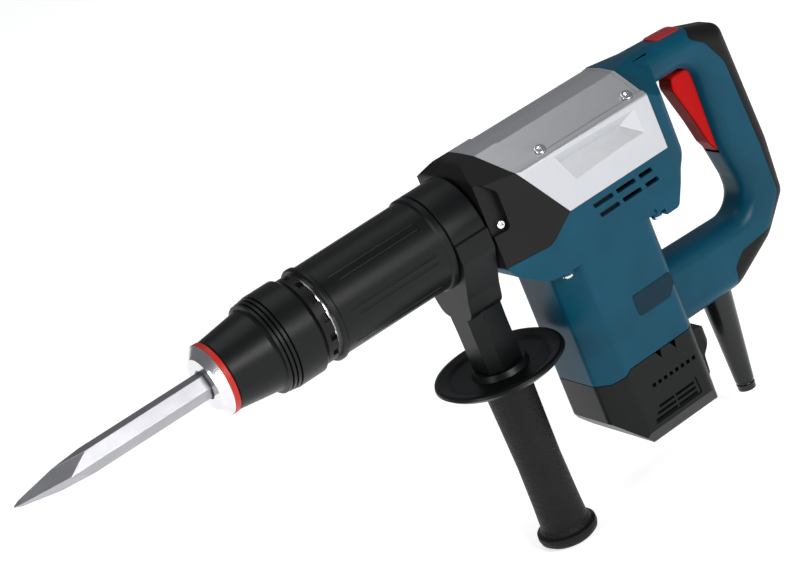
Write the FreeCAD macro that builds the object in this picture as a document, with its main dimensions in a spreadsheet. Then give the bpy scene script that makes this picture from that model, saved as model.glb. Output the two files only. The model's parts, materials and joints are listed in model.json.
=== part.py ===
import FreeCAD, Part
import math
import os

import Sketcher

# Electric demolition hammer with a hexagonal chisel, a vertical motor, a closed rear handle and a
# swivelling side handle. Millimetres. +X runs from the chisel towards the rear handle along the
# hammer axis, +Z is up and the origin is the mouth of the tool holder on that axis.

SIZES = {
    # chisel and tool holder
    "hex_across_flats": 17.0,
    "hex_clearance": 0.3,
    "chisel_reach": 152.0,
    "chisel_shank": 128.0,
    "point_length": 62.0,
    "chisel_travel": 25.0,
    "holder_radius": 19.5,
    "holder_rear_radius": 17.0,
    "nose_front_radius": 20.6,
    "nose_rear_radius": 26.3,
    "marker_front": 6.0,
    "marker_rear": 10.4,
    "marker_radius": 26.8,
    # locking sleeve
    "sleeve_front": 10.7,
    "sleeve_rear": 78.0,
    "sleeve_cone_radius": 31.0,
    "sleeve_radius": 35.6,
    "sleeve_bore": 19.55,
    "spring_radius": 23.5,
    "spring_wire": 1.2,
    "index_front": 79.0,
    "index_rear": 88.0,
    "index_radius": 33.0,
    # barrel and hammer mechanism
    "collar_front": 88.3,
    "barrel_front": 90.5,
    "barrel_rear": 190.8,
    "barrel_radius": 34.3,
    "barrel_flange": 36.4,
    "barrel_core": 30.0,
    "tube_radius": 20.0,
    "tube_front": 112.0,
    "tube_rear": 244.0,
    "cylinder_bore": 16.0,
    "running_fit": 0.05,
    "bolt_front": 128.3,
    "bolt_radius": 9.0,
    "striker_front": 162.0,
    "striker_rear": 186.0,
    "piston_front": 216.0,
    "piston_rear": 247.0,
    "wrist_axis": 235.75,
    "wrist_radius": 4.0,
    "crank_throw": 11.0,
    "crank_pin_radius": 6.0,
    # gears and motor
    "motor_axis": 305.0,
    "gear_module": 1.25,
    "gear_teeth": 48.0,
    "pinion_teeth": 10.0,
    "gear_top": -22.0,
    "gear_bottom": -32.0,
    "web_top": -9.0,
    "web_radius": 17.0,
    "crank_journal": 9.0,
    "crank_shaft_end": -49.0,
    "motor_shaft_radius": 6.0,
    "motor_shaft_end": -182.0,
    "core_top": -78.0,
    "core_bottom": -126.0,
    "armature_radius": 26.5,
    "stator_radius": 41.8,
    # crank housing
    "neck_radius": 31.0,
    "case_front": 222.0,
    "housing_rear": 372.0,
    "rear_block_end": 400.0,
    "top_fall": 0.55,
    "housing_half_width": 47.5,
    "front_half_width": 38.0,
    "housing_top": 42.0,
    "housing_bottom": -57.0,
    "cover_bottom": -18.5,
    "wall": 3.0,
    "joint_gap": 0.3,
    # motor housing and cap
    "motor_front": 259.0,
    "motor_rear": 350.0,
    "motor_half_width": 45.5,
    "motor_top": -51.5,
    "cap_line": -148.0,
    "cap_bottom": -214.0,
    # rear handle
    "handle_half_width": 18.5,
    "handle_rear": 478.6,
    "handle_bottom": -161.0,
    "trigger_pivot_along": 440.5,
    "trigger_pivot_height": -57.0,
    "boot_along": 396.0,
    "boot_length": 90.0,
    "boot_radius": 12.8,
    "boot_end_radius": 6.9,
    # side handle
    "clamp_front": 191.5,
    "clamp_rear": 220.0,
    "clamp_outer_radius": 36.4,
    "side_handle_axis": 207.0,
    "guard_height": -111.0,
    "guard_radius": 49.5,
    "grip_radius": 17.6,
    "grip_bottom": -256.0,
}

doc = FreeCAD.newDocument("DemolitionHammer")
sheet = doc.addObject("Spreadsheet::Sheet", "Sizes")
for row, (alias, number) in enumerate(SIZES.items(), start=1):
    sheet.set(f"A{row}", alias)
    sheet.set(f"B{row}", str(number))
    sheet.setAlias(f"B{row}", alias)
doc.recompute()

PIECES = []


# ---------------------------------------------------------------- helpers

def size(alias):
    return float(sheet.get(alias))


def vector(x, y, z):
    return FreeCAD.Vector(x, y, z)


def number_of(term):
    """Value of a profile term: a number, an alias, or (alias, offset)."""
    if isinstance(term, str):
        return size(term)
    if isinstance(term, tuple):
        return size(term[0]) + term[1]
    return float(term)


def expression_of(term):
    """The same term as a formula on the sheet, or None for a fixed number."""
    if isinstance(term, str):
        return f"Sizes.{term}"
    if isinstance(term, tuple):
        return f"Sizes.{term[0]} + ({term[1]})"
    return None


def keep(label, item):
    """Names a finished sub-part and lists it for export."""
    item.Label = label
    PIECES.append(item)
    return item


def origin_plane(body, role):
    return [feature for feature in body.Origin.OriginFeatures if feature.Role == role][0]


def profile_sketch(body, name, points):
    """Closed polygon on the body's XZ plane whose corners follow the sheet."""
    sketch = body.newObject("Sketcher::SketchObject", name)
    sketch.AttachmentSupport = [(origin_plane(body, "XZ_Plane"), "")]
    sketch.MapMode = "FlatFace"
    corners = [vector(number_of(a), number_of(b), 0) for a, b in points]
    count = len(corners)
    for index in range(count):
        sketch.addGeometry(Part.LineSegment(corners[index], corners[(index + 1) % count]), False)
    for index in range(count):
        sketch.addConstraint(Sketcher.Constraint("Coincident", index, 2, (index + 1) % count, 1))
    for index, point in enumerate(points):
        for kind, term in zip(("DistanceX", "DistanceY"), point):
            rule = Sketcher.Constraint(kind, -1, 1, index, 1, number_of(term))
            place = sketch.addConstraint(rule)
            if expression_of(term):
                sketch.setExpression(f"Constraints[{place}]", expression_of(term))
    return sketch


def turned(label, points, axis="H_Axis", along=None):
    """Turned part. About the hammer axis a point is (x, radius); about a vertical axis it is
    (radius, z), and along names the cell that holds the axis position."""
    body = doc.addObject("PartDesign::Body", label)
    sketch = profile_sketch(body, label + "_profile", points)
    turn = body.newObject("PartDesign::Revolution", label + "_turn")
    turn.Profile = sketch
    turn.ReferenceAxis = (sketch, [axis])
    turn.Angle = 360
    if along:
        body.setExpression("Placement.Base.x", f"Sizes.{along}")
    body.Label = label
    return body


def upright(label, points, along):
    return turned(label, points, axis="V_Axis", along=along)


def solid_of(item):
    doc.recompute()
    return item.Shape.copy()


def feature(label, shape):
    item = doc.addObject("Part::Feature", label)
    item.Shape = shape
    return keep(label, item)


def cut_from(label, base, tools):
    """Part::Cut of a document object by a list of document objects."""
    tool = tools[0]
    if len(tools) > 1:
        tool = doc.addObject("Part::MultiFuse", label + "_tools")
        tool.Shapes = tools
    cut = doc.addObject("Part::Cut", label)
    cut.Base = base
    cut.Tool = tool
    return keep(label, cut)


def place_point(plane, a, b, height):
    if plane == "XZ":
        return vector(a, height, b)
    if plane == "XY":
        return vector(a, b, height)
    return vector(height, a, b)


NORMALS = {"XZ": (0, 1, 0), "XY": (0, 0, 1), "YZ": (1, 0, 0)}


def outline(points, plane, height):
    """Closed wire through (a, b, corner radius) points, with an arc at each rounded corner."""
    corners = [place_point(plane, a, b, height) for a, b, _ in points]
    starts, ends, edges = [], [], []
    count = len(points)
    for index, corner in enumerate(corners):
        radius = points[index][2]
        before = (corners[index - 1] - corner).normalize()
        after = (corners[(index + 1) % count] - corner).normalize()
        half = before.getAngle(after) / 2
        reach = radius / math.tan(half)
        starts.append(corner + before * reach)
        ends.append(corner + after * reach)
        if radius > 0:
            middle = (before + after).normalize() * (radius / math.sin(half) - radius)
            edges.append(Part.Arc(starts[-1], corner + middle, ends[-1]).toShape())
    for index in range(count):
        start, end = ends[index], starts[(index + 1) % count]
        if start.distanceToPoint(end) > 1e-6:
            edges.append(Part.LineSegment(start, end).toShape())
    return Part.Wire(Part.__sortEdges__(edges))


def slab(points, plane, low, high, inset=0.0):
    """Prism of a rounded outline between two heights, drawn in by inset."""
    wire = outline(points, plane, low)
    if inset:
        wire = wire.makeOffset2D(-inset, 2)
    direction = vector(*NORMALS[plane]) * (high - low)
    return Part.Face(wire).extrude(direction)


def drawn_in(points, inset):
    """Clockwise polygon with its sides moved inwards by inset and its corner radii reduced."""
    moved = []
    for index, (a, b, radius) in enumerate(points):
        before, after = points[index - 1], points[(index + 1) % len(points)]
        first = vector(b - before[1], before[0] - a, 0).normalize()
        second = vector(after[1] - b, a - after[0], 0).normalize()
        reach = inset / (1 + first.dot(second))
        moved.append((a + (first.x + second.x) * reach, b + (first.y + second.y) * reach,
                      max(radius - inset, radius / 4)))
    return moved


def both_sides(points):
    """Outline given for one side of the symmetry line, closed by its mirror image."""
    mirror = [(-a, b, radius) for a, b, radius in reversed(points) if abs(a) > 1e-6]
    return points + mirror


def swapped(points):
    return [(b, a, radius) for a, b, radius in points]


def block(low, high):
    span = vector(*high) - vector(*low)
    return Part.makeBox(span.x, span.y, span.z, vector(*low))


def rod(radius, start, end):
    direction = vector(*end) - vector(*start)
    return Part.makeCylinder(radius, direction.Length, vector(*start), direction)


def joined(shapes):
    return shapes[0].multiFuse(shapes[1:]).removeSplitter()


def triangle(points, first, second, third):
    return Part.Face(Part.makePolygon([points[first], points[second], points[third], points[first]]))


def screw(seat, direction, head_radius, head_height, shank_radius, shank_length):
    """Pan-head screw with a six-lobe drive. direction points out of the head."""
    seat = vector(*seat)
    out = vector(*direction).normalize()
    head = Part.makeCylinder(head_radius, head_height, seat, out)
    rim = [edge for edge in head.Edges if edge.BoundBox.Center.distanceToPoint(seat) > head_height / 2]
    head = head.makeFillet(head_height * 0.4, [edge for edge in rim if edge.Closed])
    drive_depth = head_height * 0.6
    top = seat + out * (head_height - drive_depth)
    side = out.cross(vector(1, 0, 0) if abs(out.x) < 0.9 else vector(0, 1, 0)).normalize()
    drive = Part.makeCylinder(head_radius * 0.36, head_height, top, out)
    for lobe in range(6):
        offset = FreeCAD.Rotation(out, 60 * lobe).multVec(side) * head_radius * 0.36
        drive = drive.fuse(Part.makeCylinder(head_radius * 0.13, head_height, top + offset, out))
    shank = Part.makeCylinder(shank_radius, shank_length, seat, out * -1)
    return head.cut(drive).fuse(shank)


def gear_outline(teeth, module, height, thinning):
    """Involute spur gear outline about the origin, with a tooth centred on +X."""
    pitch = module * teeth / 2
    base = pitch * math.cos(math.radians(20))
    tip, root = pitch + module, pitch - 1.25 * module
    half = math.pi / (2 * teeth) - thinning / pitch

    def involute(radius):
        spread = math.sqrt(max((radius / base) ** 2 - 1, 0))
        return spread - math.atan(spread)

    radii = [max(base, root) + (tip - max(base, root)) * step / 5 for step in range(6)]
    flank = [(radius, half + involute(pitch) - involute(radius)) for radius in radii]
    if root < base:
        flank.insert(0, (root, flank[0][1]))
    points = []
    for tooth in range(teeth):
        centre = 2 * math.pi * tooth / teeth
        sides = [(radius, centre - angle) for radius, angle in flank]
        sides += [(radius, centre + angle) for radius, angle in reversed(flank)]
        points += [vector(r * math.cos(t), r * math.sin(t), height) for r, t in sides]
    return Part.makePolygon(points + points[:1])


# ---------------------------------------------------------------- chisel and tool holder

HEX_TURN = FreeCAD.Rotation(vector(0, 1, 0), vector(0, 0, 1), vector(1, 0, 0))


def hex_prism(name, across_flats, start, length):
    """Hexagonal bar along X with flats above and below. The arguments are formulas."""
    prism = doc.addObject("Part::Prism", name)
    prism.Polygon = 6
    prism.setExpression("Circumradius", f"({across_flats}) / 2 / cos(30)")
    prism.setExpression("Height", length)
    prism.Placement.Rotation = HEX_TURN
    prism.setExpression("Placement.Base.x", start)
    return prism


def make_chisel():
    """Hexagonal bar forged to a four-sided point whose edges run along the vertical and the sides."""
    bar = hex_prism("chisel_bar", "Sizes.hex_across_flats", "-Sizes.chisel_reach",
                    "Sizes.chisel_reach + Sizes.chisel_shank")
    sections = []
    for place, half_diagonal in (("0", 0.5), ("5", 2.7), ("Sizes.point_length", 14.4),
                                 ("Sizes.chisel_reach + Sizes.chisel_shank + 1", 14.4)):
        square = doc.addObject("Part::RegularPolygon", "point_section")
        square.Polygon = 4
        square.Circumradius = half_diagonal
        square.Placement.Rotation = HEX_TURN
        square.setExpression("Placement.Base.x", f"{place} - Sizes.chisel_reach")
        sections.append(square)
    point = doc.addObject("Part::Loft", "chisel_point")
    point.Sections = sections
    point.Solid = True
    point.Ruled = True
    pointed = doc.addObject("Part::Common", "pointed_bar")
    pointed.Base = bar
    pointed.Tool = point
    notch = doc.addObject("Part::Box", "chisel_notch")
    notch.setExpression("Length", "Sizes.chisel_travel + 7")
    notch.Width = 22
    notch.Height = 6
    notch.Placement.Base = vector(26.5, -11, 5.2)
    cut_from("chisel", pointed, [notch])


def make_tool_holder():
    body = turned("tool_holder_blank", [
        (2, 0), (2, "holder_radius"), (48, "holder_radius"), (50, "holder_rear_radius"),
        ("tube_front", "holder_rear_radius"), ("tube_front", 0)])
    bore = hex_prism("holder_bore", "Sizes.hex_across_flats + Sizes.hex_clearance", "1",
                     "Sizes.tube_front")
    slot = doc.addObject("Part::Box", "roller_slot")
    slot.Length = 6.1
    slot.Width = 16.4
    slot.Height = 14.5
    slot.Placement.Base = vector(26.95, -8.2, 5.5)
    cut_from("tool_holder", body, [bore, slot])
    roller = doc.addObject("Part::Cylinder", "roller")
    roller.Radius = 2.95
    roller.Height = 16
    roller.Placement = FreeCAD.Placement(vector(30, 8, 8.75), FreeCAD.Rotation(vector(1, 0, 0), 90))
    keep("retaining_roller", roller)


def make_nose():
    keep("nose_cap", turned("nose_cap", [
        (0, 11), (0, 19.2), (1.4, "nose_front_radius"), ("marker_front", "nose_rear_radius"),
        ("marker_front", "holder_radius"), (2, "holder_radius"), (2, 11)]))
    keep("marker_ring", turned("marker_ring", [
        ("marker_front", "holder_radius"), ("marker_front", ("marker_radius", -0.5)),
        (("marker_front", 0.6), "marker_radius"), (("marker_rear", -0.6), "marker_radius"),
        ("marker_rear", ("marker_radius", -0.5)), ("marker_rear", "holder_radius")]))


def make_locking_sleeve():
    grooves = []
    for ridge in range(3):
        start = 45.6 + 3.3 * ridge
        crest = -1.6 + 0.5 * ridge
        grooves += [(start, ("sleeve_radius", crest)), (start + 2.1, ("sleeve_radius", crest)),
                    (start + 2.4, ("sleeve_radius", crest - 1.8)),
                    (start + 3.0, ("sleeve_radius", crest - 1.8))]
    keep("locking_sleeve", turned("locking_sleeve", [
        ("sleeve_front", "sleeve_bore"), ("sleeve_front", 25.4), (("sleeve_front", 0.9), 26.3),
        (43.5, ("sleeve_cone_radius", -0.3)), (45.0, ("sleeve_cone_radius", 0.6))] + grooves + [
        (55.5, "sleeve_radius"), (("sleeve_rear", -2), "sleeve_radius"),
        ("sleeve_rear", ("sleeve_radius", -1.6)), ("sleeve_rear", 33.4), (66, 33.4), (66, 27.5),
        (36, 27.5), (36, "sleeve_bore")]))


def make_sleeve_spring():
    """Square-wire compression spring between the locking sleeve and the index ring."""
    front, rear = 36.2, size("index_front") - 0.2
    wire = size("spring_wire")
    radius = size("spring_radius")
    length = rear - front - 2 * wire
    corners = [(-wire, -wire), (wire, -wire), (wire, wire), (-wire, wire)]
    sections = []
    turns, steps = 5, 24
    for step in range(turns * steps + 1):
        angle = 2 * math.pi * step / steps
        along = front + wire + length * step / (turns * steps)
        sections.append([vector(along + shift, (radius + out) * math.cos(angle),
                                (radius + out) * math.sin(angle)) for out, shift in corners])
    faces = [triangle(sections[0], 0, 2, 1), triangle(sections[0], 0, 3, 2),
             triangle(sections[-1], 0, 1, 2), triangle(sections[-1], 0, 2, 3)]
    for near, far in zip(sections, sections[1:]):
        for index in range(4):
            ring = [near[index], near[(index + 1) % 4], far[(index + 1) % 4], far[index]]
            faces += [triangle(ring, 0, 1, 2), triangle(ring, 0, 2, 3)]
    coil = Part.makeSolid(Part.makeShell(faces))
    if coil.Volume < 0:
        coil.reverse()
    feature("sleeve_spring", coil)


def make_index_ring():
    front, rear, radius = size("index_front"), size("index_rear"), size("index_radius")
    ring = solid_of(turned("index_blank", [
        ("index_front", "holder_rear_radius"), ("index_front", ("index_radius", -0.8)),
        (("index_front", 0.8), "index_radius"), ("index_rear", "index_radius"),
        ("index_rear", "holder_rear_radius")]))
    notches = []
    for step in range(14):
        notch = block((rear - 5, -3, radius - 3.6), (rear + 1, 3, radius + 2))
        notch.rotate(vector(0, 0, 0), vector(1, 0, 0), 360 / 14 * step)
        notches.append(notch)
    feature("index_ring", ring.cut(notches))


# ---------------------------------------------------------------- barrel and hammer mechanism

def make_barrel():
    keep("barrel_tube", turned("barrel_tube", [
        ("collar_front", "holder_rear_radius"), ("collar_front", 31.0), (("collar_front", 0.5), 31.5),
        ("barrel_front", 31.5), ("barrel_front", "barrel_core"),
        (("barrel_rear", 0.5), "barrel_core"), (("barrel_rear", 0.5), "tube_radius"),
        ("tube_front", "tube_radius"), ("tube_front", "holder_rear_radius")]))
    keep("hammer_tube", turned("hammer_tube", [
        ("tube_front", "cylinder_bore"), ("tube_front", "tube_radius"),
        ("tube_rear", "tube_radius"), ("tube_rear", "cylinder_bore")]))
    keep("guide_bush", turned("guide_bush", [
        ("tube_front", 10.2), ("tube_front", "cylinder_bore"), (133, "cylinder_bore"),
        (133, ("bolt_radius", 0.05)), (128.2, ("bolt_radius", 0.05)), (128.2, 10.2)]))


def make_barrel_sleeve():
    """Ribbed cover on the barrel, with pairs of long shallow grooves."""
    front, rear, radius = size("barrel_front"), size("barrel_rear"), size("barrel_radius")
    cover = solid_of(turned("barrel_cover", [
        ("barrel_front", "barrel_core"), ("barrel_front", ("barrel_radius", 0.4)),
        (("barrel_front", 1.1), ("barrel_radius", 1.6)), (("barrel_front", 3.6), ("barrel_radius", 1.6)),
        (("barrel_front", 5), "barrel_radius"), (("barrel_rear", -6), ("barrel_radius", 0.5)),
        (("barrel_rear", -4.5), "barrel_flange"), (("barrel_rear", -0.6), "barrel_flange"),
        ("barrel_rear", ("barrel_flange", -0.6)), ("barrel_rear", "barrel_core")]))
    grooves = []
    for step in range(8):
        for side in (-4.5, 4.5):
            start = front + 12 + (6 if side > 0 else 0)
            groove = rod(0.9, (start, 0, radius + 0.45), (rear - 14, 0, radius + 0.75))
            groove.rotate(vector(0, 0, 0), vector(1, 0, 0), 45 * step + side)
            grooves.append(groove)
    feature("barrel_sleeve", cover.cut(grooves))


def make_striking_parts():
    keep("impact_bolt", turned("impact_bolt", [
        ("bolt_front", 0), ("bolt_front", ("bolt_radius", -0.8)), (129.1, "bolt_radius"),
        (141, "bolt_radius"), (141, 15.95), (149, 15.95), (149, "bolt_radius"), (156, "bolt_radius"),
        (156, 0)]))
    keep("striker", turned("striker", [
        ("striker_front", 0), ("striker_front", 13), (("striker_front", 2.5), 15.95), (172, 15.95),
        (172, 14), (175, 14), (175, 15.95), (("striker_rear", -1), 15.95), ("striker_rear", 15),
        ("striker_rear", 0)]))
    keep("striker_seal", turned("striker_seal", [
        (172.1, 14), (172.1, 15.92), (174.9, 15.92), (174.9, 14)]))


def make_piston():
    blank = turned("piston_blank", [
        ("piston_front", 0), ("piston_front", 15.95), (220, 15.95), (220, 14), (223, 14),
        (223, 15.95), ("piston_rear", 15.95), ("piston_rear", 10.5), (227, 10.5), (227, 0)])
    bore = doc.addObject("Part::Cylinder", "wrist_bore")
    bore.setExpression("Radius", "Sizes.wrist_radius")
    bore.Height = 40
    bore.Placement.Base = vector(0, 0, -20)
    bore.setExpression("Placement.Base.x", "Sizes.wrist_axis")
    cut_from("piston", blank, [bore])
    keep("piston_seal", turned("piston_seal", [
        (220.1, 14), (220.1, 15.92), (222.9, 15.92), (222.9, 14)]))
    pin = doc.addObject("Part::Cylinder", "wrist_pin_bar")
    pin.setExpression("Radius", "Sizes.wrist_radius")
    pin.Height = 30
    pin.Placement.Base = vector(0, 0, -15)
    pin.setExpression("Placement.Base.x", "Sizes.wrist_axis")
    keep("wrist_pin", pin)


def crank_axis():
    gear_pitch = size("gear_module") * size("gear_teeth") / 2
    pinion_pitch = size("gear_module") * size("pinion_teeth") / 2
    return size("motor_axis") - gear_pitch - pinion_pitch


def make_connecting_rod():
    small, large = size("wrist_axis"), crank_axis() + size("crank_throw")
    half = 4.5
    eyes = [rod(7.5, (small, 0, -half), (small, 0, half)), rod(10, (large, 0, -half), (large, 0, half))]
    web = block((small, -4.5, -3.5), (large, 4.5, 3.5))
    bores = [rod(size("wrist_radius") + size("running_fit"), (small, 0, -9), (small, 0, 9)),
             rod(size("crank_pin_radius"), (large, 0, -9), (large, 0, 9))]
    feature("connecting_rod", joined(eyes + [web]).cut(bores))
    pin_bottom = size("web_top") + size("joint_gap")
    feature("crank_pin", rod(size("crank_pin_radius"), (large, 0, pin_bottom), (large, 0, 5.5)))


def make_crank():
    axis = crank_axis()
    web_radius, journal = size("web_radius"), size("crank_journal")
    top, gear_top, gear_bottom = size("web_top"), size("gear_top"), size("gear_bottom")
    web = rod(web_radius, (axis, 0, gear_top), (axis, 0, top))
    shaft = rod(journal, (axis, 0, size("crank_shaft_end")), (axis, 0, gear_top))
    pin_at = axis + size("crank_throw")
    socket = rod(size("crank_pin_radius") + 0.4, (pin_at, 0, top - 6), (pin_at, 0, top + 1))
    balance = block((axis - web_radius, -web_radius, top - 4), (axis - 11, web_radius, top + 1))
    feature("crank_shaft", joined([web, shaft]).cut([socket, balance]))
    wheel = Part.Face(gear_outline(int(size("gear_teeth")), size("gear_module"), gear_bottom, 0.08))
    wheel = wheel.extrude(vector(0, 0, gear_top - gear_bottom))
    wheel.rotate(vector(0, 0, 0), vector(0, 0, 1), 180 / size("gear_teeth"))
    wheel.translate(vector(axis, 0, 0))
    bore = rod(journal, (axis, 0, gear_bottom - 1), (axis, 0, gear_top + 1))
    relief = rod(25, (axis, 0, gear_bottom - 1), (axis, 0, gear_bottom + 2))
    relief = relief.cut(rod(14, (axis, 0, gear_bottom - 1), (axis, 0, gear_bottom + 2)))
    feature("crank_gear", wheel.cut([bore, relief]))
    bearing = rod(17, (axis, 0, -48), (axis, 0, -36))
    hole = rod(journal + size("running_fit"), (axis, 0, -49), (axis, 0, -35))
    feature("crank_bearing", bearing.cut(hole))


# ---------------------------------------------------------------- motor

def make_armature():
    keep("armature_shaft", upright("armature_shaft", [
        (0, "motor_shaft_end"), (5, "motor_shaft_end"), (5, -168), ("motor_shaft_radius", -168),
        ("motor_shaft_radius", -34), (3.5, -34), (3.5, -20.5), (0, -20.5)], "motor_axis"))
    pinion = Part.Face(gear_outline(int(size("pinion_teeth")), size("gear_module"), -33.5, 0.08))
    pinion = pinion.extrude(vector(0, 0, 13))
    pinion.rotate(vector(0, 0, 0), vector(0, 0, 1), 180)
    pinion = pinion.cut(rod(3.5, (0, 0, -34), (0, 0, -20)))
    pinion.translate(vector(size("motor_axis"), 0, 0))
    feature("motor_pinion", pinion)
    keep("armature_windings", upright("armature_windings", [
        ("motor_shaft_radius", ("core_top", 4)), (20, ("core_top", 4)), (23, ("core_top", 0)),
        ("motor_shaft_radius", ("core_top", 0))], "motor_axis"))
    keep("commutator", upright("commutator", [
        ("motor_shaft_radius", -157), (14, -157), (14, -141), (16, -141), (16, -138),
        ("motor_shaft_radius", -138)], "motor_axis"))


def make_armature_core():
    axis = size("motor_axis")
    low, high, radius = size("core_bottom"), size("core_top"), size("armature_radius")
    core = rod(radius, (axis, 0, low), (axis, 0, high))
    slots = [rod(size("motor_shaft_radius"), (axis, 0, low - 1), (axis, 0, high + 1))]
    for step in range(12):
        slot = block((axis + radius - 6, -1.3, low - 1), (axis + radius + 1, 1.3, high + 1))
        slot.rotate(vector(axis, 0, 0), vector(0, 0, 1), 30 * step)
        slots.append(slot)
    feature("armature_core", core.cut(slots))


def make_fan():
    axis = size("motor_axis")
    parts = [rod(36, (axis, 0, -72), (axis, 0, -70)), rod(10, (axis, 0, -72), (axis, 0, -60))]
    for step in range(14):
        blade = block((axis + 15, -0.9, -70.5), (axis + 35.5, 0.9, -61))
        blade.rotate(vector(axis + 15, 0, 0), vector(0, 0, 1), 25)
        blade.rotate(vector(axis, 0, 0), vector(0, 0, 1), 360 / 14 * step)
        parts.append(blade.common(rod(36, (axis, 0, -72), (axis, 0, -60))))
    hole = rod(size("motor_shaft_radius"), (axis, 0, -73), (axis, 0, -59))
    feature("cooling_fan", joined(parts).cut(hole))


def make_stator():
    keep("stator_core", upright("stator_core", [
        (27.2, "core_bottom"), ("stator_radius", "core_bottom"), ("stator_radius", "core_top"),
        (27.2, "core_top")], "motor_axis"))
    upper = upright("upper_coil", [(29, "core_top"), (40, "core_top"), (38, ("core_top", 4.5)),
                                   (31, ("core_top", 4.5))], "motor_axis")
    lower = upright("lower_coil", [(29, "core_bottom"), (31, ("core_bottom", -10)),
                                   (38, ("core_bottom", -10)), (40, "core_bottom")], "motor_axis")
    coils = doc.addObject("Part::Compound", "coils")
    coils.Links = [upper, lower]
    keep("field_coils", coils)
    keep("upper_motor_bearing", upright("upper_motor_bearing", [
        (("motor_shaft_radius", 0.05), -46), (13, -46), (13, -36), (("motor_shaft_radius", 0.05), -36)],
        "motor_axis"))
    keep("lower_motor_bearing", upright("lower_motor_bearing", [
        (5.05, -180), (11, -180), (11, -172), (5.05, -172)], "motor_axis"))


def make_brush_gear():
    """Bracket for the lower bearing, two brush boxes and their carbon brushes."""
    axis = size("motor_axis")
    bracket = joined([rod(40.5, (axis, 0, -170), (axis, 0, -166)), rod(15, (axis, 0, -183), (axis, 0, -166))])
    holes = [rod(11, (axis, 0, -180), (axis, 0, -165)), rod(8, (axis, 0, -184), (axis, 0, -165))]
    for step in range(6):
        angle = math.radians(60 * step + 30)
        x, y = axis + 28 * math.cos(angle), 28 * math.sin(angle)
        holes.append(rod(7, (x, y, -171), (x, y, -165)))
    feature("bearing_bracket", bracket.cut(holes))
    boxes, brushes = [], []
    for side in (-1, 1):
        inner, outer = sorted((side * 17, side * 39))
        box = block((axis - 5, inner, -155), (axis + 5, outer, -141))
        box = box.cut(block((axis - 3.1, inner - 1, -153.1), (axis + 3.1, outer + 1, -142.9)))
        boxes.append(box)
        inner, outer = sorted((side * 14.1, side * 31))
        brushes.append(block((axis - 3.05, inner, -153.05), (axis + 3.05, outer, -142.95)))
    feature("brush_holders", Part.makeCompound(boxes))
    feature("carbon_brushes", Part.makeCompound(brushes))


MOTOR_PLAN = [(259, 22, 9), (274, 45.5, 5), (338, 45.5, 9), (350, 27, 9)]


def motor_plan():
    half = size("motor_half_width")
    front, rear = size("motor_front"), size("motor_rear")
    upper = [(front, 22, 9), (front + 15, half, 5), (rear - 12, half, 9), (rear, 27, 9)]
    return upper + [(x, -y, radius) for x, y, radius in reversed(upper)]


def motor_block(low, high, inset=0.0):
    return slab(motor_plan(), "XY", low, high, inset)


def make_motor_housing():
    top, line, wall = size("motor_top"), size("cap_line"), size("wall")
    front = size("motor_front")
    side = [(front - 5, top, 0), (360, top, 0), (360, line, 0), (front + 20, line, 0),
            (front + 8, line - 8, 0), (front - 5, line - 8, 0)]
    outer = motor_block(line - 8, top).common(slab(side, "XZ", -60, 60))
    inner = motor_block(line - 9, top + 1, wall)
    feature("motor_housing", outer.cut(inner))
    plate = [(302, -118, 3), (331, -118, 5), (338, -110, 2), (338, -101, 1.5), (302, -101, 1.5)]
    half = size("motor_half_width")
    feature("name_plate", slab(plate, "XZ", -half - 0.5, -half))


def cap_block(inset=0.0):
    """Closed body of the motor cap: plan outline, side outline with the rear bulge, chamfered foot."""
    line, bottom, front = size("cap_line"), size("cap_bottom"), size("motor_front")
    gap, half = size("joint_gap"), size("motor_half_width")
    side = [(front - 5, line - 8 - gap, 0), (front + 8, line - 8 - gap, 0), (front + 20, line - gap, 0),
            (350, line - gap, 0), (350, -161.6, 0), (362, -164, 3), (362, -176, 3), (354, -185, 3),
            (353, -199, 5), (342, bottom, 4), (front + 22, bottom, 6), (front, -187, 6),
            (front - 5, -187, 0)]
    across = both_sides([(half + 3, line, 0), (half + 3, -196, 3), (half - 9, bottom, 6)])
    body = slab(motor_plan(), "XY", bottom - 2, line, inset)
    bulge = slab([(320, -24, 0), (363, -24, 6), (363, 24, 6), (320, 24, 0)], "XY", bottom - 2, line, inset)
    return joined([body, bulge]).common(slab(side, "XZ", -60, 60, inset)).common(
        slab(across, "YZ", 240, 380, inset))


def louvre_window(grow=0.0):
    points = [(281 - grow, -197 - grow, 1.5), (328 + grow, -197 - grow, 1.5),
              (327 + grow, -183 + grow, 1.5), (291 - grow, -183 + grow, 1.5)]
    return points


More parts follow.
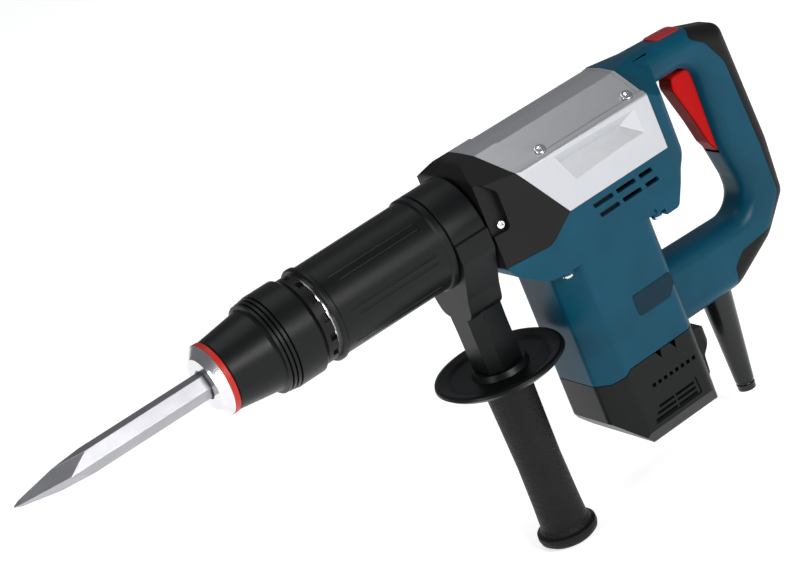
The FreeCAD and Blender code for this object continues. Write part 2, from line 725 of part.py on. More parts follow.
def make_motor_cap():
    line, half, wall = size("cap_line"), size("motor_half_width"), size("wall")
    cap = cap_block().cut(cap_block(wall))
    cap = cap.cut(motor_block(line - 12, line + 1, wall))
    cuts = []
    for low, high in ((-half - 1, -half + wall + 2), (half - wall - 2, half + 1)):
        cuts.append(slab(louvre_window(), "XZ", low, high))
        for step in range(8):
            slot = [(291 + 5.5 * step, -171, 0), (294 + 5.5 * step, -171, 0), (294 + 5.5 * step, -168, 0),
                    (291 + 5.5 * step, -168, 0)]
            cuts.append(slab(slot, "XZ", low, high))
        for start in (302, 316):
            wedge = [(start, line + 1, 0), (start + 6, line + 1, 0), (start + 4.5, line - 7, 0)]
            cuts.append(slab(wedge, "XZ", low, high))
    feature("motor_cap", cap.cut(cuts))
    grilles = []
    for side in (-1, 1):
        low, high = sorted((side * (half - 1), side * (half - 3.5)))
        frame = slab(louvre_window(-0.15), "XZ", low, high)
        outer, inner = side * (half - 0.5), side * (half - 4)
        for step in range(3):
            base = -196.1 + 4.1 * step
            start = 284 + 3.2 * step
            across = [(outer, base - 0.3, 0), (outer, base + 1.9, 0), (inner, base + 4.1, 0),
                      (inner, base + 1.9, 0)]
            for first, last in ((start, 305), (306.5, 324.5)):
                frame = frame.cut(slab(across, "YZ", first, last))
        grilles.append(frame)
    feature("air_grilles", Part.makeCompound(grilles))


# ---------------------------------------------------------------- crank housing

def rear_taper(inset):
    """Tapered shoulders of the block behind the cover, which lead into the upper arm of the handle."""
    top, bottom, half = size("housing_top"), size("housing_bottom"), size("housing_half_width")
    start, end = size("housing_rear") + size("joint_gap") / 2, size("rear_block_end") + 2
    wide = [(0, top - 0.4, 0), (17, top - 1.2, 6), (43.4, 25.8, 4), (half, -18, 0), (half, bottom - 8, 0)]
    narrow = [(0, top - 1.4, 0), (6.5, top - 2.2, 5), (half, 4, 4), (half, -18, 0), (half, bottom - 8, 0)]
    sections = [outline(drawn_in(both_sides(points), inset), "YZ", place)
                for points, place in ((wide, start), (narrow, end))]
    return Part.makeLoft(sections, True, True)


def housing_block(inset=0.0):
    """Outer body shared by the gear case, the top cover and the side shells."""
    front, rear, end = size("case_front"), size("housing_rear"), size("rear_block_end")
    top, bottom, half = size("housing_top"), size("housing_bottom"), size("housing_half_width")
    middle = rear + size("joint_gap") / 2
    side = [(front, -33, 0), (front, 33, 7), (front + 7, top + 1, 10), (end, top + 1, 4), (end, -9, 14),
            (end - 23, -38, 20), (end - 36, -62, 5), (352.3, -62, 0),
            (352.3, bottom, 0), (front + 24, bottom, 14), (front + 4, -42, 8)]
    plan_half = [(front, size("front_half_width"), 0), (262, half, 30), (rear, half, 14),
                 (end - 15.5, half - 3, 10), (end, 18.5, 3)]
    plan = plan_half + [(x, -y, radius) for x, y, radius in reversed(plan_half)]
    shoulder = both_sides([(0, top + 1, 0), (17, top, 6), (41, 28, 3), (44, 27, 1.5), (46.3, 25.5, 3),
                           (half, -18, 0), (half, bottom - 8, 0)])
    body = slab(side, "XZ", -60, 60, inset)
    body = body.common(slab(plan, "XY", bottom - 10, top + 5, inset))
    ridge = slab(shoulder, "YZ", front - 2, end, inset)
    ridge.rotate(vector(262, 0, top), vector(0, 1, 0), size("top_fall"))
    ahead = body.common(ridge).common(block((front - 5, -70, -80), (middle, 70, 70)))
    return ahead.fuse(body.common(rear_taper(inset)))


def region_in_front(shift=0.0):
    """Side-view region of the exposed black gear case, ahead of a slanted joint line."""
    low = size("cover_bottom")
    points = [(180, 60, 0), (231 + shift, 60, 0), (279.5 + shift, low, 0), (256 + shift, -33 - shift, 8),
              (222, -33 - shift, 0), (180, -33 - shift, 0)]
    return slab(points, "XZ", -70, 70)


def make_gear_case():
    wall, gap = size("wall"), size("joint_gap")
    axis, motor = crank_axis(), size("motor_axis")
    exposed = housing_block().common(region_in_front())
    hidden = housing_block(wall + gap).common(
        joined([block((225, -60, -50), (319, 60, -19)), block((225, -60, -20), (277, 60, 21)),
                block((276, -37.5, -20), (319, 37.5, 21))]))
    neck = rod(size("neck_radius"), (size("barrel_rear") + 0.5, 0, 0), (232, 0, 0))
    case = joined([exposed, hidden, neck])
    cuts = [rod(size("tube_radius"), (180, 0, 0), (246, 0, 0)),
            rod(33, (axis, 0, -34), (axis, 0, -18)),
            block((246, -34.5, -20), (300, 34.5, 30)),
            block((247.7, -37.4, 21), (330, 37.4, 60)).common(housing_block(wall)),
            rod(9, (motor, 0, -35.5), (motor, 0, 20)),
            rod(13, (motor, 0, -60), (motor, 0, -36)),
            rod(17, (axis, 0, -60), (axis, 0, -36)),
            rod(10.5, (axis, 0, -37), (axis, 0, -33)),
            rod(7, (motor, 0, -37), (motor, 0, -35))]
    for side in (-1, 1):
        low, high = sorted((side * 35.5, side * 60))
        recess = [(210, -8, 0), (235.5, -8, 4), (235.5, 21, 5), (226, 31, 3), (210, 31, 0)]
        cuts.append(slab(recess, "XZ", low, high))
        cuts.append(rod(2, (231, side * 30, -3), (231, side * 50, -3)))
    feature("gear_case", case.cut(cuts))
    lid = [(248.2, -37, 5), (304, -37, 5), (304, 37, 5), (248.2, 37, 5)]
    feature("gear_case_lid", slab(lid, "XY", 21, 24).common(housing_block(wall + gap)))


COVER_SCREW_SPOTS = [(280, -1), (280, 1), (360.5, -1), (360.5, 1)]
FACET_NORMAL = (0.0, 0.504, 0.864)


def facet_seat(along, side):
    """Point on the sloping shoulder of the cover under a screw head, and the way out of it."""
    fall = (along - 262) * math.tan(math.radians(size("top_fall")))
    seat = (along, side * 38.3, 28.5 - fall)
    return seat, (0.0, side * FACET_NORMAL[1], FACET_NORMAL[2])


def panel_recess(side):
    """Wedge-shaped recess in the side of the cover, deepest along an upper fold line."""
    surface, fold = side * 49.0, side * 42.6
    outer = [(281, 27), (367, 24), (366, -5), (296, -8)]
    corners = [vector(x, surface, z) for x, z in outer]
    front, rear = vector(289, fold, 14.5), vector(344, fold, 13.5)
    faces = [corners, [corners[0], corners[1], rear, front], [corners[1], corners[2], rear],
             [corners[2], corners[3], front, rear], [corners[3], corners[0], front]]
    triangles = []
    for face in faces:
        for index in range(1, len(face) - 1):
            ring = [face[0], face[index], face[index + 1], face[0]]
            triangles.append(Part.Face(Part.makePolygon(ring)))
    return Part.makeSolid(Part.makeShell(triangles))


def make_crank_cover():
    wall, gap = size("wall"), size("joint_gap")
    low, rear = size("cover_bottom"), size("housing_rear")
    region = block((200, -60, low), (rear, 60, 60)).cut(region_in_front(gap))
    upper = [(259, 60, 0), (259, 45, 0), (273.5, 30, 0), (275.8, 27.6, 0), (rear + 9, 26.7, 0),
             (rear + 9, 60, 0)]
    outside = housing_block().cut(slab(upper, "XZ", -60, 60)).fuse(housing_block(1.0))
    shell = outside.cut(housing_block(wall)).common(region)
    shell = shell.cut([block((220, -60, -60), (225, 60, 60))])
    rear_wall = housing_block(0.5).common(block((rear - wall, -60, low), (rear, 60, 60)))
    opening = block((rear - wall - 1, -30, low - 1), (rear + 1, 30, 30))
    backing = []
    for side in (-1, 1):
        inner, outer = sorted((side * 38, side * 46))
        backing.append(block((279, inner, -9), (368, outer, 27)))
    backing = [part.common(housing_block(0.5)).common(region) for part in backing]
    bosses, pockets = [], []
    for along, side in COVER_SCREW_SPOTS:
        seat, out = facet_seat(along, side)
        start = tuple(seat[i] - 3.6 * out[i] for i in range(3))
        bosses.append(rod(6.0, start, seat))
        end = tuple(seat[i] + 4 * out[i] for i in range(3))
        pockets.append(rod(1.9, tuple(seat[i] - 6 * out[i] for i in range(3)), end))
        pockets.append(rod(4.8, seat, end))
    whole = joined([shell, rear_wall.cut(opening)] + backing + bosses)
    recesses = [panel_recess(-1), panel_recess(1)]
    feature("crank_cover", whole.cut(recesses + pockets))
    screws = []
    for along, side in COVER_SCREW_SPOTS:
        seat, out = facet_seat(along, side)
        screws.append(screw(seat, out, 4.5, 2.4, 1.9, 3.8))
    feature("cover_screws", Part.makeCompound(screws))


# ---------------------------------------------------------------- rear handle and side shells

def handle_outline():
    rear, top, bottom = size("handle_rear"), size("housing_top"), size("handle_bottom")
    front = size("motor_rear") + size("joint_gap")
    return [(366, top - 0.2, 0), (441, top - 4.3, 25), (rear - 5.2, 27, 8), (rear, -70, 80),
            (rear - 2, -114, 14), (452, -140.2, 30), (412, bottom, 25), (front, bottom, 0),
            (front, -108.8, 0), (442.2, -111.9, 18), (441.6, -86, 16), (436, -58, 20), (436.5, 12, 12),
            (366, 12, 0)]


def handle_body(inset, radius):
    half = size("handle_half_width") - inset
    body = slab(handle_outline(), "XZ", -half, half, inset)
    if radius == 0:
        return body
    rims = []
    for edge in body.Edges:
        box = edge.BoundBox
        on_side = box.YMax - box.YMin < 1e-6
        at_front = box.XMax - box.XMin < 1e-6 and box.XMax < 380
        if on_side and not at_front:
            rims.append(edge)
    return body.makeFillet(radius, rims)


def softgrip_region(grow=0.0):
    """Side-view region of the soft rear grip: the back of the handle and its lower corner."""
    points = [(446, 60, 0), (446, 37, 0), (439, 31, 3), (451, 21.5, 10), (461.5, 2, 16), (466.3, -70, 60),
              (467, -110, 8), (452, -131, 10), (420, -134.5, 8), (409, -143, 6), (407, -170, 0),
              (500, -170, 0), (500, 60, 0)]
    points = [(a - grow if a < 500 else a, b, radius) for a, b, radius in points]
    return slab(points, "XZ", -40, 40)


def boot_line(height):
    """Centre of the sloping bend protector at a height."""
    return size("boot_along") - 3.0 * (height + 160) / -85.0


def lock_button_plan(grow):
    """Plan outline of the lock button in the upper arm of the handle."""
    front, rear, half = 418.2 - grow, 442.6 + grow, 8.2 + grow
    return [(front, -half, 4 + grow), (rear, -half, 4 + grow), (rear, half, 4 + grow),
            (front, half, 4 + grow)]


def make_shells():
    wall, gap = size("wall"), size("joint_gap")
    low = size("cover_bottom") - gap
    rear = size("housing_rear") + gap
    block_shell = housing_block().cut(housing_block(wall))
    lower = block_shell.common(block((200, -60, -70), (500, 60, low))).cut(region_in_front(gap))
    upper = block_shell.common(block((rear, -60, low), (500, 60, 60)))
    passage = motor_block(-70, -50, -gap)
    lower = lower.cut([passage, block((220, -60, -60), (223, 60, 60))])
    arch = block((rear - 1, -15, -60), (500, 15, 9))
    outside, core, hollow = handle_body(0, 13), handle_body(2, 11), handle_body(4.6, 0)
    keep_front = block((300, -60, -100), (size("rear_block_end"), 60, 60))
    frame = joined([outside.cut(softgrip_region()), core]).cut(hollow)
    frame = frame.cut(housing_block(wall).common(keep_front))
    frame = frame.cut(block((360, -60, -60), (rear, 60, 60)))
    inside_bar = slab([(376, 37.5, 0), (404, 37.5, 0), (404, 16, 0), (376, 16, 0)], "XZ", -14, 14)
    body = joined([lower, upper, frame]).cut(inside_bar)
    body = body.cut(block((352, -19, -105), (352.1, 19, -100)))
    cuts = [arch.common(block((360, -60, -5), (372, 60, 10)))]
    half = size("housing_half_width")
    for level, shift in ((-25.5, 0), (-34, 2.5)):
        for start, length in ((299, 18), (320.5, 17.5), (342, 12)):
            a = start + shift
            slot = [(a, level - 1.8, 0.8), (a + length, level - 1.8, 0.8),
                    (a + length - 1, level + 1.8, 0.8), (a - 1, level + 1.8, 0.8)]
            cuts.append(slab(slot, "XZ", -half - 5, -half + 6))
            cuts.append(slab(slot, "XZ", half - 6, half + 5))
    notch = [(277, -60, 0), (277, -52.5, 2), (345, -52.5, 2), (345, -60, 0)]
    cuts += [slab(notch, "XZ", -60, -46), slab(notch, "XZ", 46, 60)]
    trigger_slot = [(428, -62.5, 0), (447.5, -62.5, 0), (453.4, 11, 0), (428, 11, 0)]
    cuts.append(slab(trigger_slot, "XZ", -8.6, 8.6))
    pivot = (size("trigger_pivot_along"), size("trigger_pivot_height"))
    cuts.append(rod(2.0, (pivot[0], -12.5, pivot[1]), (pivot[0], 12.5, pivot[1])))
    cuts.append(slab(lock_button_plan(0.3), "XY", 27, 50))
    boot_top, boot_low = (boot_line(-148), 0, -148), (boot_line(-170), 0, -170)
    cuts.append(rod(size("boot_radius") + 0.3, boot_top, boot_low))
    cuts += [rod(2.1, (x, y, -64), (x, y, -40)) for x, y in SKIRT_SCREWS]
    bosses = [rod(4.6, (x, y, -60.5), (x, y, -50)).common(housing_block()) for x, y in SKIRT_SCREWS]
    bosses += [rod(4.6, (x, y, -60.5), (x, y, -56)) for x, y in SKIRT_SCREWS]
    body = joined([body] + bosses)
    tubes = [rod(4.5, (x, -14, z), (x, 14, z)) for x, z in HANDLE_SCREWS]
    body = joined([body] + tubes)
    for x, z in HANDLE_SCREWS:
        cuts += [rod(1.8, (x, -10, z), (x, 20, z)), rod(4.0, (x, 15, z), (x, 30, z))]
    body = body.cut(cuts)
    for name, low_y, high_y in (("body_shell_left", -60, 0), ("body_shell_right", 0, 60)):
        feature(name, body.common(block((200, low_y, -200), (520, high_y, 80))))
    grip = outside.cut(core).common(softgrip_region(-gap))
    feature("handle_softgrip", grip.cut(rod(size("boot_radius") + 0.3, boot_top, boot_low)))
    feature("skirt_screws", Part.makeCompound(
        [screw((x, y, -60.5), (0, 0, -1), 3.9, 2.4, 2.1, 10) for x, y in SKIRT_SCREWS]))
    feature("handle_screws", Part.makeCompound(
        [screw((x, 15, z), (0, 1, 0), 3.7, 2.4, 1.8, 22) for x, z in HANDLE_SCREWS]))
    feature("side_screws", Part.makeCompound(
        [screw((231, side * 35.5, -3), (0, side, 0), 3.4, 2.6, 2.0, 5) for side in (-1, 1)]))


SKIRT_SCREWS = [(263, -40.5), (263, 40.5), (347.5, -41), (347.5, 41)]
HANDLE_SCREWS = [(412, 26.5), (445.5, 19.5), (461, -72), (446, -121), (368, -120), (368, -148)]


def make_trigger():
    x, z = size("trigger_pivot_along"), size("trigger_pivot_height")
    blade = [(420, 8.5, 4), (445, 8.5, 0), (445, -40, 0), (444, -60.5, 1.5), (436.5, -60.5, 1.5),
             (431.5, -51, 6), (427, -32, 30), (417.5, 0, 8)]
    body = slab(blade, "XZ", -8.2, 8.2)
    rims = [edge for edge in body.Edges if edge.BoundBox.YLength < 1e-6 and edge.BoundBox.XMax < 443.9]
    body = body.makeFillet(1.8, rims)
    hollow = slab(blade, "XZ", -6, 6, 2.2).fuse(block((437, -6, -36), (446, 6, 6)))
    bore = rod(2.05, (x, -20, z), (x, 20, z))
    feature("trigger", body.cut([hollow, bore]))
    pin = doc.addObject("Part::Cylinder", "trigger_pin_bar")
    pin.Radius = 2.0
    pin.Height = 25
    pin.Placement.Rotation = FreeCAD.Rotation(vector(1, 0, 0), 90)
    pin.Placement.Base = vector(0, 12.5, 0)
    pin.setExpression("Placement.Base.x", "Sizes.trigger_pivot_along")
    pin.setExpression("Placement.Base.z", "Sizes.trigger_pivot_height")
    keep("trigger_pin", pin)
    feature("switch_body", joined([block((451.5, -13.8, -44), (463, 13.8, -2)),
                                   block((455, -7, -2), (461, 7, 4))]))
    crown = slab(lock_button_plan(0), "XY", 28.5, 50).common(handle_body(-0.9, 13.9))
    lip = block((417, -9.6, 28.5), (443.4, 9.6, 30))
    crown = joined([crown, lip])
    feature("lock_button", crown)


def make_boot():
    """Tapered bend protector with a through bore for a 8 mm cord."""
    length = size("boot_length")
    boot = Part.makeCone(size("boot_radius"), size("boot_end_radius"), length)
    boot = boot.fuse(Part.makeCylinder(size("boot_radius") + 0.9, 4, vector(0, 0, -4)))
    rim = Part.makeTorus(size("boot_end_radius") + 0.9, 1.4, vector(0, 0, length - 6))
    boot = boot.cut([rim, Part.makeCylinder(4.2, length + 14, vector(0, 0, -6))])
    top = vector(boot_line(-152), 0, -152)
    down = vector(boot_line(-245), 0, -245) - top
    boot.Placement = FreeCAD.Placement(top, FreeCAD.Rotation(vector(0, 0, 1), down))
    feature("cord_boot", boot)


# ---------------------------------------------------------------- side handle

def make_clamp():
    front, rear = size("clamp_front"), size("clamp_rear")
    inner, outer = size("neck_radius") + 0.05, size("clamp_outer_radius")
    split = 2.0
    ring = rod(outer, (front, 0, 0), (rear, 0, 0)).cut(rod(inner, (front - 1, 0, 0), (rear + 1, 0, 0)))
    strap = ring.common(block((front, -60, split), (rear, 60, 60)))
    rims = [edge for edge in strap.Edges if edge.BoundBox.XLength < 1e-6 and edge.BoundBox.ZMax > 35]
    strap = strap.makeFillet(1.5, rims)
    feature("clamp_strap", strap)


def stem_section(height, half, ridge):
    """Six-sided section with a sharp ridge on each side face."""
    front, rear = size("clamp_front"), size("clamp_rear") + 1.6
    return Part.makePolygon([vector(x, y, height) for x, y in (
        (front, -half), (ridge, -half - 7), (rear, -half), (rear, half), (ridge, half + 7),
        (front, half), (front, -half))])


def make_stem():
    front, rear = size("clamp_front"), size("clamp_rear")
    inner = size("neck_radius") + 0.05
    bottom = size("guard_height") + 4
    upper = [(0, 1.7, 0), (38.2, 1.7, 2), (38.2, -14, 8), (24, -44, 20), (18, -62, 10), (0, -62, 0)]
    yoke = slab(both_sides(upper), "YZ", front, rear)
    column = Part.makeLoft([stem_section(-44, 12.5, 203), stem_section(-75, 10.5, 201),
                            stem_section(bottom, 10.5, 200)], True, True)
    stem = joined([yoke, column])
    cuts = [rod(inner, (front - 5, 0, 0), (rear + 5, 0, 0)),
            rod(4.05, (size("side_handle_axis"), 0, -35), (size("side_handle_axis"), 0, -120))]
    feature("handle_stem", stem.cut(cuts))


def make_side_grip():
    axis = "side_handle_axis"
    height = "guard_height"
    keep("guard_disc", upright("guard_disc", [
        (9, (height, -6)), (40, (height, -5)), (("guard_radius", -3), (height, -1.5)),
        ("guard_radius", (height, 1.2)), (("guard_radius", -0.6), (height, 3)),
        (("guard_radius", -3), (height, 3.8)), (("guard_radius", -9), (height, 2.2)),
        (("guard_radius", -12), (height, 0.2)), (22, (height, -0.4)), (20, (height, 3.6)), (9, (height, 3.6))],
        axis))
    radius = "grip_radius"
    keep("side_grip", upright("side_grip", [
        (9, (height, -6.2)), (radius, (height, -6.2)), ((radius, 0.4), (height, -12)),
        ((radius, -0.4), -160), ((radius, -0.9), -190), ((radius, -0.2), -225), ((radius, 0.4), -242),
        ((radius, 2.2), -245.5), ((radius, 4.9), -247), ((radius, 5.2), -250), ((radius, 4.4), -253),
        ((radius, 1.4), ("grip_bottom", 0.5)), ((radius, -6), "grip_bottom"), (9, "grip_bottom")], axis))
    keep("tension_bolt", upright("tension_bolt", [
        (0, -250), (9, -250), (9, (height, 3.6)), (4, (height, 3.6)), (4, -42), (0, -42)], axis))


# ---------------------------------------------------------------- build, check, export

make_chisel()
make_tool_holder()
make_nose()
make_locking_sleeve()
make_sleeve_spring()
make_index_ring()
make_barrel()
make_barrel_sleeve()
make_striking_parts()
make_piston()
make_connecting_rod()
make_crank()
make_armature()
make_armature_core()
make_fan()
make_stator()
make_brush_gear()
make_motor_housing()
make_motor_cap()
make_gear_case()
make_crank_cover()
make_shells()
make_trigger()
make_boot()
make_clamp()
make_stem()
make_side_grip()
doc.recompute()

for item in doc.Objects:
    if "Invalid" in item.State or "Error" in item.State:
        raise RuntimeError(f"{item.Label} failed: {item.State}")
os.makedirs("parts", exist_ok=True)
for piece in PIECES:
    if piece.Shape.isNull() or not piece.Shape.isValid():
        raise RuntimeError(f"{piece.Label} has no valid shape")
for piece in PIECES:
    piece.Shape.exportStep(f"parts/{piece.Label}.step")
print(len(PIECES), "pieces")
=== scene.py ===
import json
import math

import bmesh
import bpy
from mathutils import Matrix, Vector


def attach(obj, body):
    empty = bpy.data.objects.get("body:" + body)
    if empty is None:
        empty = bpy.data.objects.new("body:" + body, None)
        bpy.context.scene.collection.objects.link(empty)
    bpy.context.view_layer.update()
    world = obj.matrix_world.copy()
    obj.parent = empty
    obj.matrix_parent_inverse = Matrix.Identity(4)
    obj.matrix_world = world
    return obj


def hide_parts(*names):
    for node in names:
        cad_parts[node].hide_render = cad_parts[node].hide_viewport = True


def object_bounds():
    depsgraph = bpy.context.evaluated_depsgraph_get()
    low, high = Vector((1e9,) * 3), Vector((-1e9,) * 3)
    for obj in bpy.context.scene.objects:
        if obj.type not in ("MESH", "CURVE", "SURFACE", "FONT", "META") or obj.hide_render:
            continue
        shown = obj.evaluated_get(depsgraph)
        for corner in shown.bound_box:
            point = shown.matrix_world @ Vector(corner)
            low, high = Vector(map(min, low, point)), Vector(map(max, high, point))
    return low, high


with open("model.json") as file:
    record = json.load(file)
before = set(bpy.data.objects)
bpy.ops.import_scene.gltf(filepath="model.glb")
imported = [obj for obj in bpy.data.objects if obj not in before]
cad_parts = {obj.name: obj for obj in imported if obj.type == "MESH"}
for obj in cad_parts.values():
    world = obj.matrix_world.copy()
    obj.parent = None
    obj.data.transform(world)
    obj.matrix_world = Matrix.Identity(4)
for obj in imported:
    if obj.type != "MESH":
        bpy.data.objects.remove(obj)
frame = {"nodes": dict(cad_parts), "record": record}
CAD_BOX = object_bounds()
NODES = frame["nodes"]
RECORD = frame["record"]
NODE_BODY = {node: body for body, nodes in RECORD["behaviour"]["bodies"].items() for node in nodes}
NODE_SLOT = {entry["node"]: entry["material_slot"] for entry in RECORD["subparts"]}
SCENE = bpy.context.scene
MM = 0.001

# Angles in degrees: a crease sharper than SHARP gets a full rounded edge, one between two flat CAD
# faces gets half of it from SOFT on, and facets closer than JOINED are merged.
SHARP, SOFT, JOINED = 24, 2, 0.4
SEAM = 0.004 * MM
FLAT_COSINE = 0.99995
SLIVER_AREA = 1e-9


# ---------------------------------------------------------------- materials

class Surface:
    """A Principled material whose details are added one after another."""

    def __init__(self, name, roughness, metallic=0.0):
        self.material = bpy.data.materials.new(name)
        self.material.use_nodes = True
        self.tree = self.material.node_tree
        self.shader = self.tree.nodes["Principled BSDF"]
        self.shader.inputs["Metallic"].default_value = metallic
        self.shader.inputs["Roughness"].default_value = roughness
        self.place = self.tree.nodes.new("ShaderNodeTexCoord").outputs["Object"]
        self.normal = None

    def node(self, kind, **inputs):
        item = self.tree.nodes.new(kind)
        for key, value in inputs.items():
            socket = item.inputs[key.replace("_", " ")]
            if hasattr(value, "is_output"):
                self.tree.links.new(value, socket)
            else:
                socket.default_value = value
        return item

    def stretched(self, x, y, z):
        return self.node("ShaderNodeMapping", Vector=self.place, Scale=(x, y, z)).outputs["Vector"]

    def noise(self, scale, detail=3.0, rough=0.5, place=None):
        item = self.node("ShaderNodeTexNoise", Vector=place or self.place, Scale=scale, Detail=detail,
                         Roughness=rough)
        return item.outputs["Fac"]

    def cells(self, scale):
        return self.node("ShaderNodeTexVoronoi", Vector=self.place, Scale=scale).outputs["Distance"]

    def ramp(self, factor, *stops):
        item = self.node("ShaderNodeValToRGB", Fac=factor)
        band = item.color_ramp
        while len(band.elements) < len(stops):
            band.elements.new(0.5)
        for element, (position, color) in zip(band.elements, stops):
            element.position = position
            element.color = (*color, 1.0)
        return item.outputs["Color"]

    def color(self, factor, *stops):
        self.tree.links.new(self.ramp(factor, *stops), self.shader.inputs["Base Color"])
        return self

    def set(self, **values):
        for key, value in values.items():
            self.shader.inputs[key.replace("_", " ")].default_value = value
        return self

    def roughness(self, factor, low, high):
        item = self.node("ShaderNodeMapRange", Value=factor, To_Min=low, To_Max=high)
        self.tree.links.new(item.outputs["Result"], self.shader.inputs["Roughness"])
        return self

    def bump(self, height, strength, distance):
        item = self.node("ShaderNodeBump", Height=height, Strength=strength, Distance=distance)
        if self.normal:
            self.tree.links.new(self.normal, item.inputs["Normal"])
        self.normal = item.outputs["Normal"]
        self.tree.links.new(self.normal, self.shader.inputs["Normal"])
        return self


def shade(color, factor):
    return tuple(min(channel * factor, 1.0) for channel in color)


def moulded(name, color, roughness, grain=900.0, depth=0.25, gloss=0.5):
    """Moulded plastic: cloudy colour, a fine spark-eroded texture and soft handling marks."""
    surface = Surface(name, roughness).set(Specular_IOR_Level=gloss)
    clouds = surface.noise(28.0, 4.0, 0.6)
    surface.color(clouds, (0.3, shade(color, 0.86)), (0.7, shade(color, 1.14)))
    marks = surface.noise(160.0, 6.0, 0.7)
    surface.roughness(marks, roughness - 0.07, roughness + 0.09)
    surface.bump(surface.noise(grain, 2.0, 0.6), depth, 0.06 * MM)
    surface.bump(surface.noise(60.0, 2.0, 0.4), 0.05, 0.4 * MM)
    return surface.material


def trigger_with_painted_shade(name, color):
    """Red plastic with painted shade: faces turned to the front (−X) are coloured a darker red, and a
    fine cell bump covers all of it.
    """
    surface = Surface(name, 0.32).set(Specular_IOR_Level=0.03)
    facing = surface.node("ShaderNodeTexCoord").outputs["Normal"]
    along = surface.node("ShaderNodeSeparateXYZ", Vector=facing).outputs["X"]
    # Painted shade: the red darkens to half on faces whose normal points forward (−X).
    painted_front_shade = surface.node("ShaderNodeMapRange", Value=along, From_Min=-0.9, From_Max=-0.5)
    surface.color(painted_front_shade.outputs["Result"], (0.0, shade(color, 0.5)), (1.0, color))
    surface.roughness(surface.noise(160.0, 6.0, 0.7), 0.25, 0.42)
    surface.bump(surface.cells(900.0), 0.3, 0.2 * MM)
    return surface.material


def rubbery(name, color, scale, depth):
    """Moulded rubber with small raised pebbles."""
    surface = Surface(name, 0.55).set(Specular_IOR_Level=0.16)
    clouds = surface.noise(40.0, 4.0, 0.6)
    surface.color(clouds, (0.3, shade(color, 0.8)), (0.7, shade(color, 1.25)))
    surface.roughness(surface.noise(300.0, 3.0, 0.6), 0.42, 0.62)
    surface.bump(surface.cells(scale), depth, 0.5 * MM)
    surface.bump(surface.noise(1400.0, 2.0, 0.5), 0.2, 0.1 * MM)
    return surface.material


def machined(name, color, roughness, stretch, depth=0.12):
    """Bare metal with fine tool marks that run along one direction, and a little staining."""
    surface = Surface(name, roughness, 1.0)
    stains = surface.noise(35.0, 5.0, 0.65)
    surface.color(stains, (0.25, shade(color, 0.82)), (0.75, shade(color, 1.08)))
    lines = surface.noise(60.0, 5.0, 0.65, surface.stretched(*stretch))
    surface.roughness(lines, roughness - 0.08, roughness + 0.12)
    surface.bump(lines, depth, 0.12 * MM)
    return surface.material


def lacquered(name, color, roughness, metallic):
    """Metallic lacquer on a casting: fine flakes and a slightly uneven skin."""
    surface = Surface(name, roughness, metallic)
    flakes = surface.cells(2600.0)
    surface.color(flakes, (0.0, shade(color, 0.9)), (0.6, shade(color, 1.06)))
    surface.roughness(surface.noise(220.0, 4.0, 0.6), roughness - 0.05, roughness + 0.07)
    surface.bump(surface.noise(420.0, 3.0, 0.5), 0.12, 0.08 * MM)
    surface.bump(surface.noise(45.0, 2.0, 0.4), 0.04, 0.4 * MM)
    return surface.material


BLUE = (0.0008, 0.052, 0.090)
BLACK = (0.0045, 0.005, 0.0052)
SILVER = (0.48, 0.49, 0.51)

MATERIALS = {
    "tool_steel": machined("ground_steel", (0.40, 0.40, 0.42), 0.34, (1, 14, 14)),
    "bearing_steel": machined("bearing_steel", (0.55, 0.56, 0.58), 0.2, (1, 1, 12)),
    "gear_steel": machined("oiled_gear_steel", (0.30, 0.29, 0.28), 0.3, (1, 1, 10)),
    "lamination": machined("lamination_edges", (0.16, 0.16, 0.17), 0.45, (1, 1, 60), 0.4),
    "winding_copper": machined("varnished_copper", (0.55, 0.22, 0.08), 0.3, (1, 1, 40), 0.5),
    "screw_chrome": machined("plated_screw", (0.72, 0.72, 0.74), 0.16, (4, 4, 4), 0.05),
    "bush_bronze": machined("bush_bronze", (0.55, 0.36, 0.14), 0.3, (12, 1, 1)),
    "barrel_metal": machined("turned_alloy", (0.74, 0.74, 0.75), 0.17, (14, 1, 1), 0.08),
    "cover_silver": lacquered("silver_lacquer", SILVER, 0.33, 0.75),
    "case_black": moulded("black_casting", (0.0075, 0.007, 0.0068), 0.40, 700.0, 0.3, 0.16),
    "plastic_black": moulded("black_plastic", BLACK, 0.36, 900.0, 0.25, 0.18),
    "plastic_blue": moulded("blue_plastic", BLUE, 0.34, 900.0, 0.25, 0.16),
    "plate_dark": moulded("dark_plate", shade(BLUE, 0.35), 0.3, 900.0, 0.15, 0.16),
    "rubber_black": rubbery("black_rubber", (0.006, 0.006, 0.0063), 1500.0, 0.2),
    "switch_red": moulded("red_plastic", (0.36, 0.006, 0.008), 0.3, 900.0, 0.2, 0.25),
    "ring_red": moulded("red_ring", (0.42, 0.018, 0.010), 0.38, 900.0, 0.2, 0.25),
    "carbon": moulded("carbon_brush", (0.03, 0.03, 0.03), 0.6),
}
GRIP = rubbery("pebbled_grip", (0.007, 0.007, 0.0075), 560.0, 1.0)
BOOT = moulded("glossy_rubber", BLACK, 0.20, 500.0, 0.1, 0.4)
TRIGGER = trigger_with_painted_shade("trigger_red", (0.42, 0.008, 0.007))


def link(name, data):
    item = bpy.data.objects.new(name, data)
    SCENE.collection.objects.link(item)
    return item


def dress(piece, material):
    piece.data.materials.clear()
    piece.data.materials.append(material)


# ---------------------------------------------------------------- pieces

def cad_faces(work):
    """Numbers the islands of a CAD mesh, one to each CAD face, and says which of them are flat."""
    layer = work.faces.layers.int.new("cad_face")
    seen, flat = set(), []
    for start in work.faces:
        if start.index in seen:
            continue
        seen.add(start.index)
        island, queue = [], [start]
        while queue:
            face = queue.pop()
            island.append(face)
            for edge in face.edges:
                for other in edge.link_faces:
                    if other.index not in seen:
                        seen.add(other.index)
                        queue.append(other)
        for face in island:
            face[layer] = len(flat)
        broad = [face for face in island if face.calc_area() > SLIVER_AREA]
        flat.append(all(face.normal.dot(start.normal) > FLAT_COSINE for face in broad))
    return layer, flat


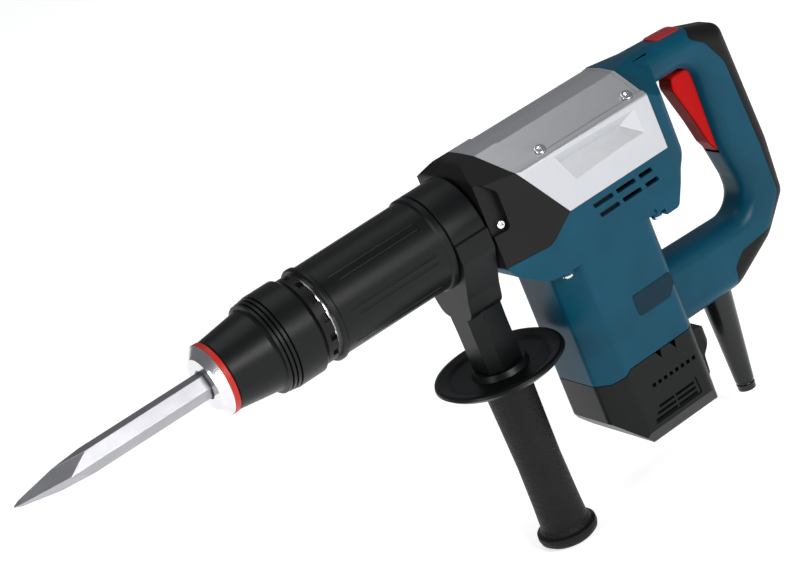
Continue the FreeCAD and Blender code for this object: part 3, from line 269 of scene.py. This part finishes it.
def refined(node, width):
    """Shows a copy of a CAD node, with merged seams and small rounded edges, in its place."""
    mesh = NODES[node].data.copy()
    mesh.name = node + "_look"
    piece = link(node + "_look", mesh)
    work = bmesh.new()
    work.from_mesh(mesh)
    work.faces.index_update()
    layer, flat = cad_faces(work)
    bmesh.ops.remove_doubles(work, verts=work.verts, dist=SEAM)
    bmesh.ops.dissolve_limit(work, angle_limit=math.radians(JOINED), verts=work.verts, edges=work.edges)
    weight = work.edges.layers.float.new("bevel_weight_edge")
    for face in work.faces:
        face.smooth = True
    for edge in work.edges:
        if len(edge.link_faces) != 2:
            continue
        one, other = edge.link_faces
        angle = math.degrees(one.normal.angle(other.normal, 0.0))
        both_flat = flat[one[layer]] and flat[other[layer]]
        if angle > SHARP or (both_flat and angle > SOFT):
            edge.smooth = False
            edge[weight] = 1.0 if angle > SHARP else 0.5
    work.to_mesh(mesh)
    work.free()
    bevel = piece.modifiers.new("edges", "BEVEL")
    bevel.width = width * MM
    bevel.segments = 2
    bevel.limit_method = "WEIGHT"
    bevel.use_clamp_overlap = True
    bevel.harden_normals = True
    dress(piece, MATERIALS[NODE_SLOT[node]])
    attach(piece, NODE_BODY[node])
    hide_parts(node)


for name, item in NODES.items():
    dress(item, MATERIALS[NODE_SLOT[name]])
dress(NODES["side_grip"], GRIP)
dress(NODES["cord_boot"], BOOT)
dress(NODES["trigger"], TRIGGER)

ROUNDED_EDGES = {
    "body_shell_left": 0.6, "body_shell_right": 0.6, "crank_cover": 0.7, "gear_case": 0.7,
    "motor_housing": 0.6, "motor_cap": 0.6, "handle_stem": 0.7, "clamp_strap": 0.5, "chisel": 0.25,
}
for name, width in ROUNDED_EDGES.items():
    refined(name, width)


# ---------------------------------------------------------------- stage, light and camera

FLOOR_REACH = 14
FLOOR_GAP = 1 * MM

floor_mesh = bpy.data.meshes.new("floor")
corners = [(x * FLOOR_REACH, y * FLOOR_REACH, 0) for x, y in ((-1, -1), (1, -1), (1, 1), (-1, 1))]
floor_mesh.from_pydata(corners, [], [(0, 1, 2, 3)])
floor = link("floor", floor_mesh)
floor.location.z = CAD_BOX[0][2] - FLOOR_GAP
floor_paint = Surface("pale_floor", 0.9).set(Specular_IOR_Level=0.1, Emission_Color=(1, 1, 1, 1),
                                             Emission_Strength=0.62)
floor_paint.color(floor_paint.noise(3.0), (0.3, (0.93, 0.93, 0.93)), (0.7, (0.95, 0.95, 0.95)))
dress(floor, floor_paint.material)

world = bpy.data.worlds.new("studio")
world.use_nodes = True
backdrop = world.node_tree.nodes["Background"].inputs
backdrop["Color"].default_value = (0.93, 0.95, 1.0, 1)
backdrop["Strength"].default_value = 0.20
SCENE.world = world


def softbox(name, position, target, size, watts):
    """Rectangular area light that faces the target."""
    light = bpy.data.lights.new(name, "AREA")
    light.shape = "RECTANGLE"
    light.size, light.size_y = size
    light.energy = watts
    item = link(name, light)
    item.location = position
    item.rotation_euler = (Vector(target) - Vector(position)).to_track_quat("-Z", "Y").to_euler()


softbox("key", (0.5, -2.5, 1.0), (0.2, 0, -0.05), (1.1, 0.8), 46)
softbox("side", (-2.0, -0.6, 0.5), (0.2, 0, 0), (0.7, 1.2), 17)
softbox("overhead", (0.4, 0.6, 3.2), (0.2, 0, 0), (2.4, 2.4), 30)

# The camera looks along the hammer from the front left, a little from above, and leans to the side.
CAMERA_PLACE = (-0.541208, -1.490936, 0.625629)
CAMERA_RIGHT = (0.77081913, -0.52058281, -0.36719395)
CAMERA_UP = (0.49806435, 0.13308404, 0.8568667)
CAMERA_BACK = (-0.39720242, -0.84337546, 0.36186746)

camera_data = bpy.data.cameras.new("camera")
camera_data.sensor_width = 36.0
camera_data.lens = 115.563
camera_data.clip_end = 60
camera = link("camera", camera_data)
turn = Matrix((CAMERA_RIGHT, CAMERA_UP, CAMERA_BACK)).transposed().to_4x4()
camera.matrix_world = Matrix.Translation(CAMERA_PLACE) @ turn
SCENE.camera = camera
SCENE.view_settings.view_transform = "Standard"
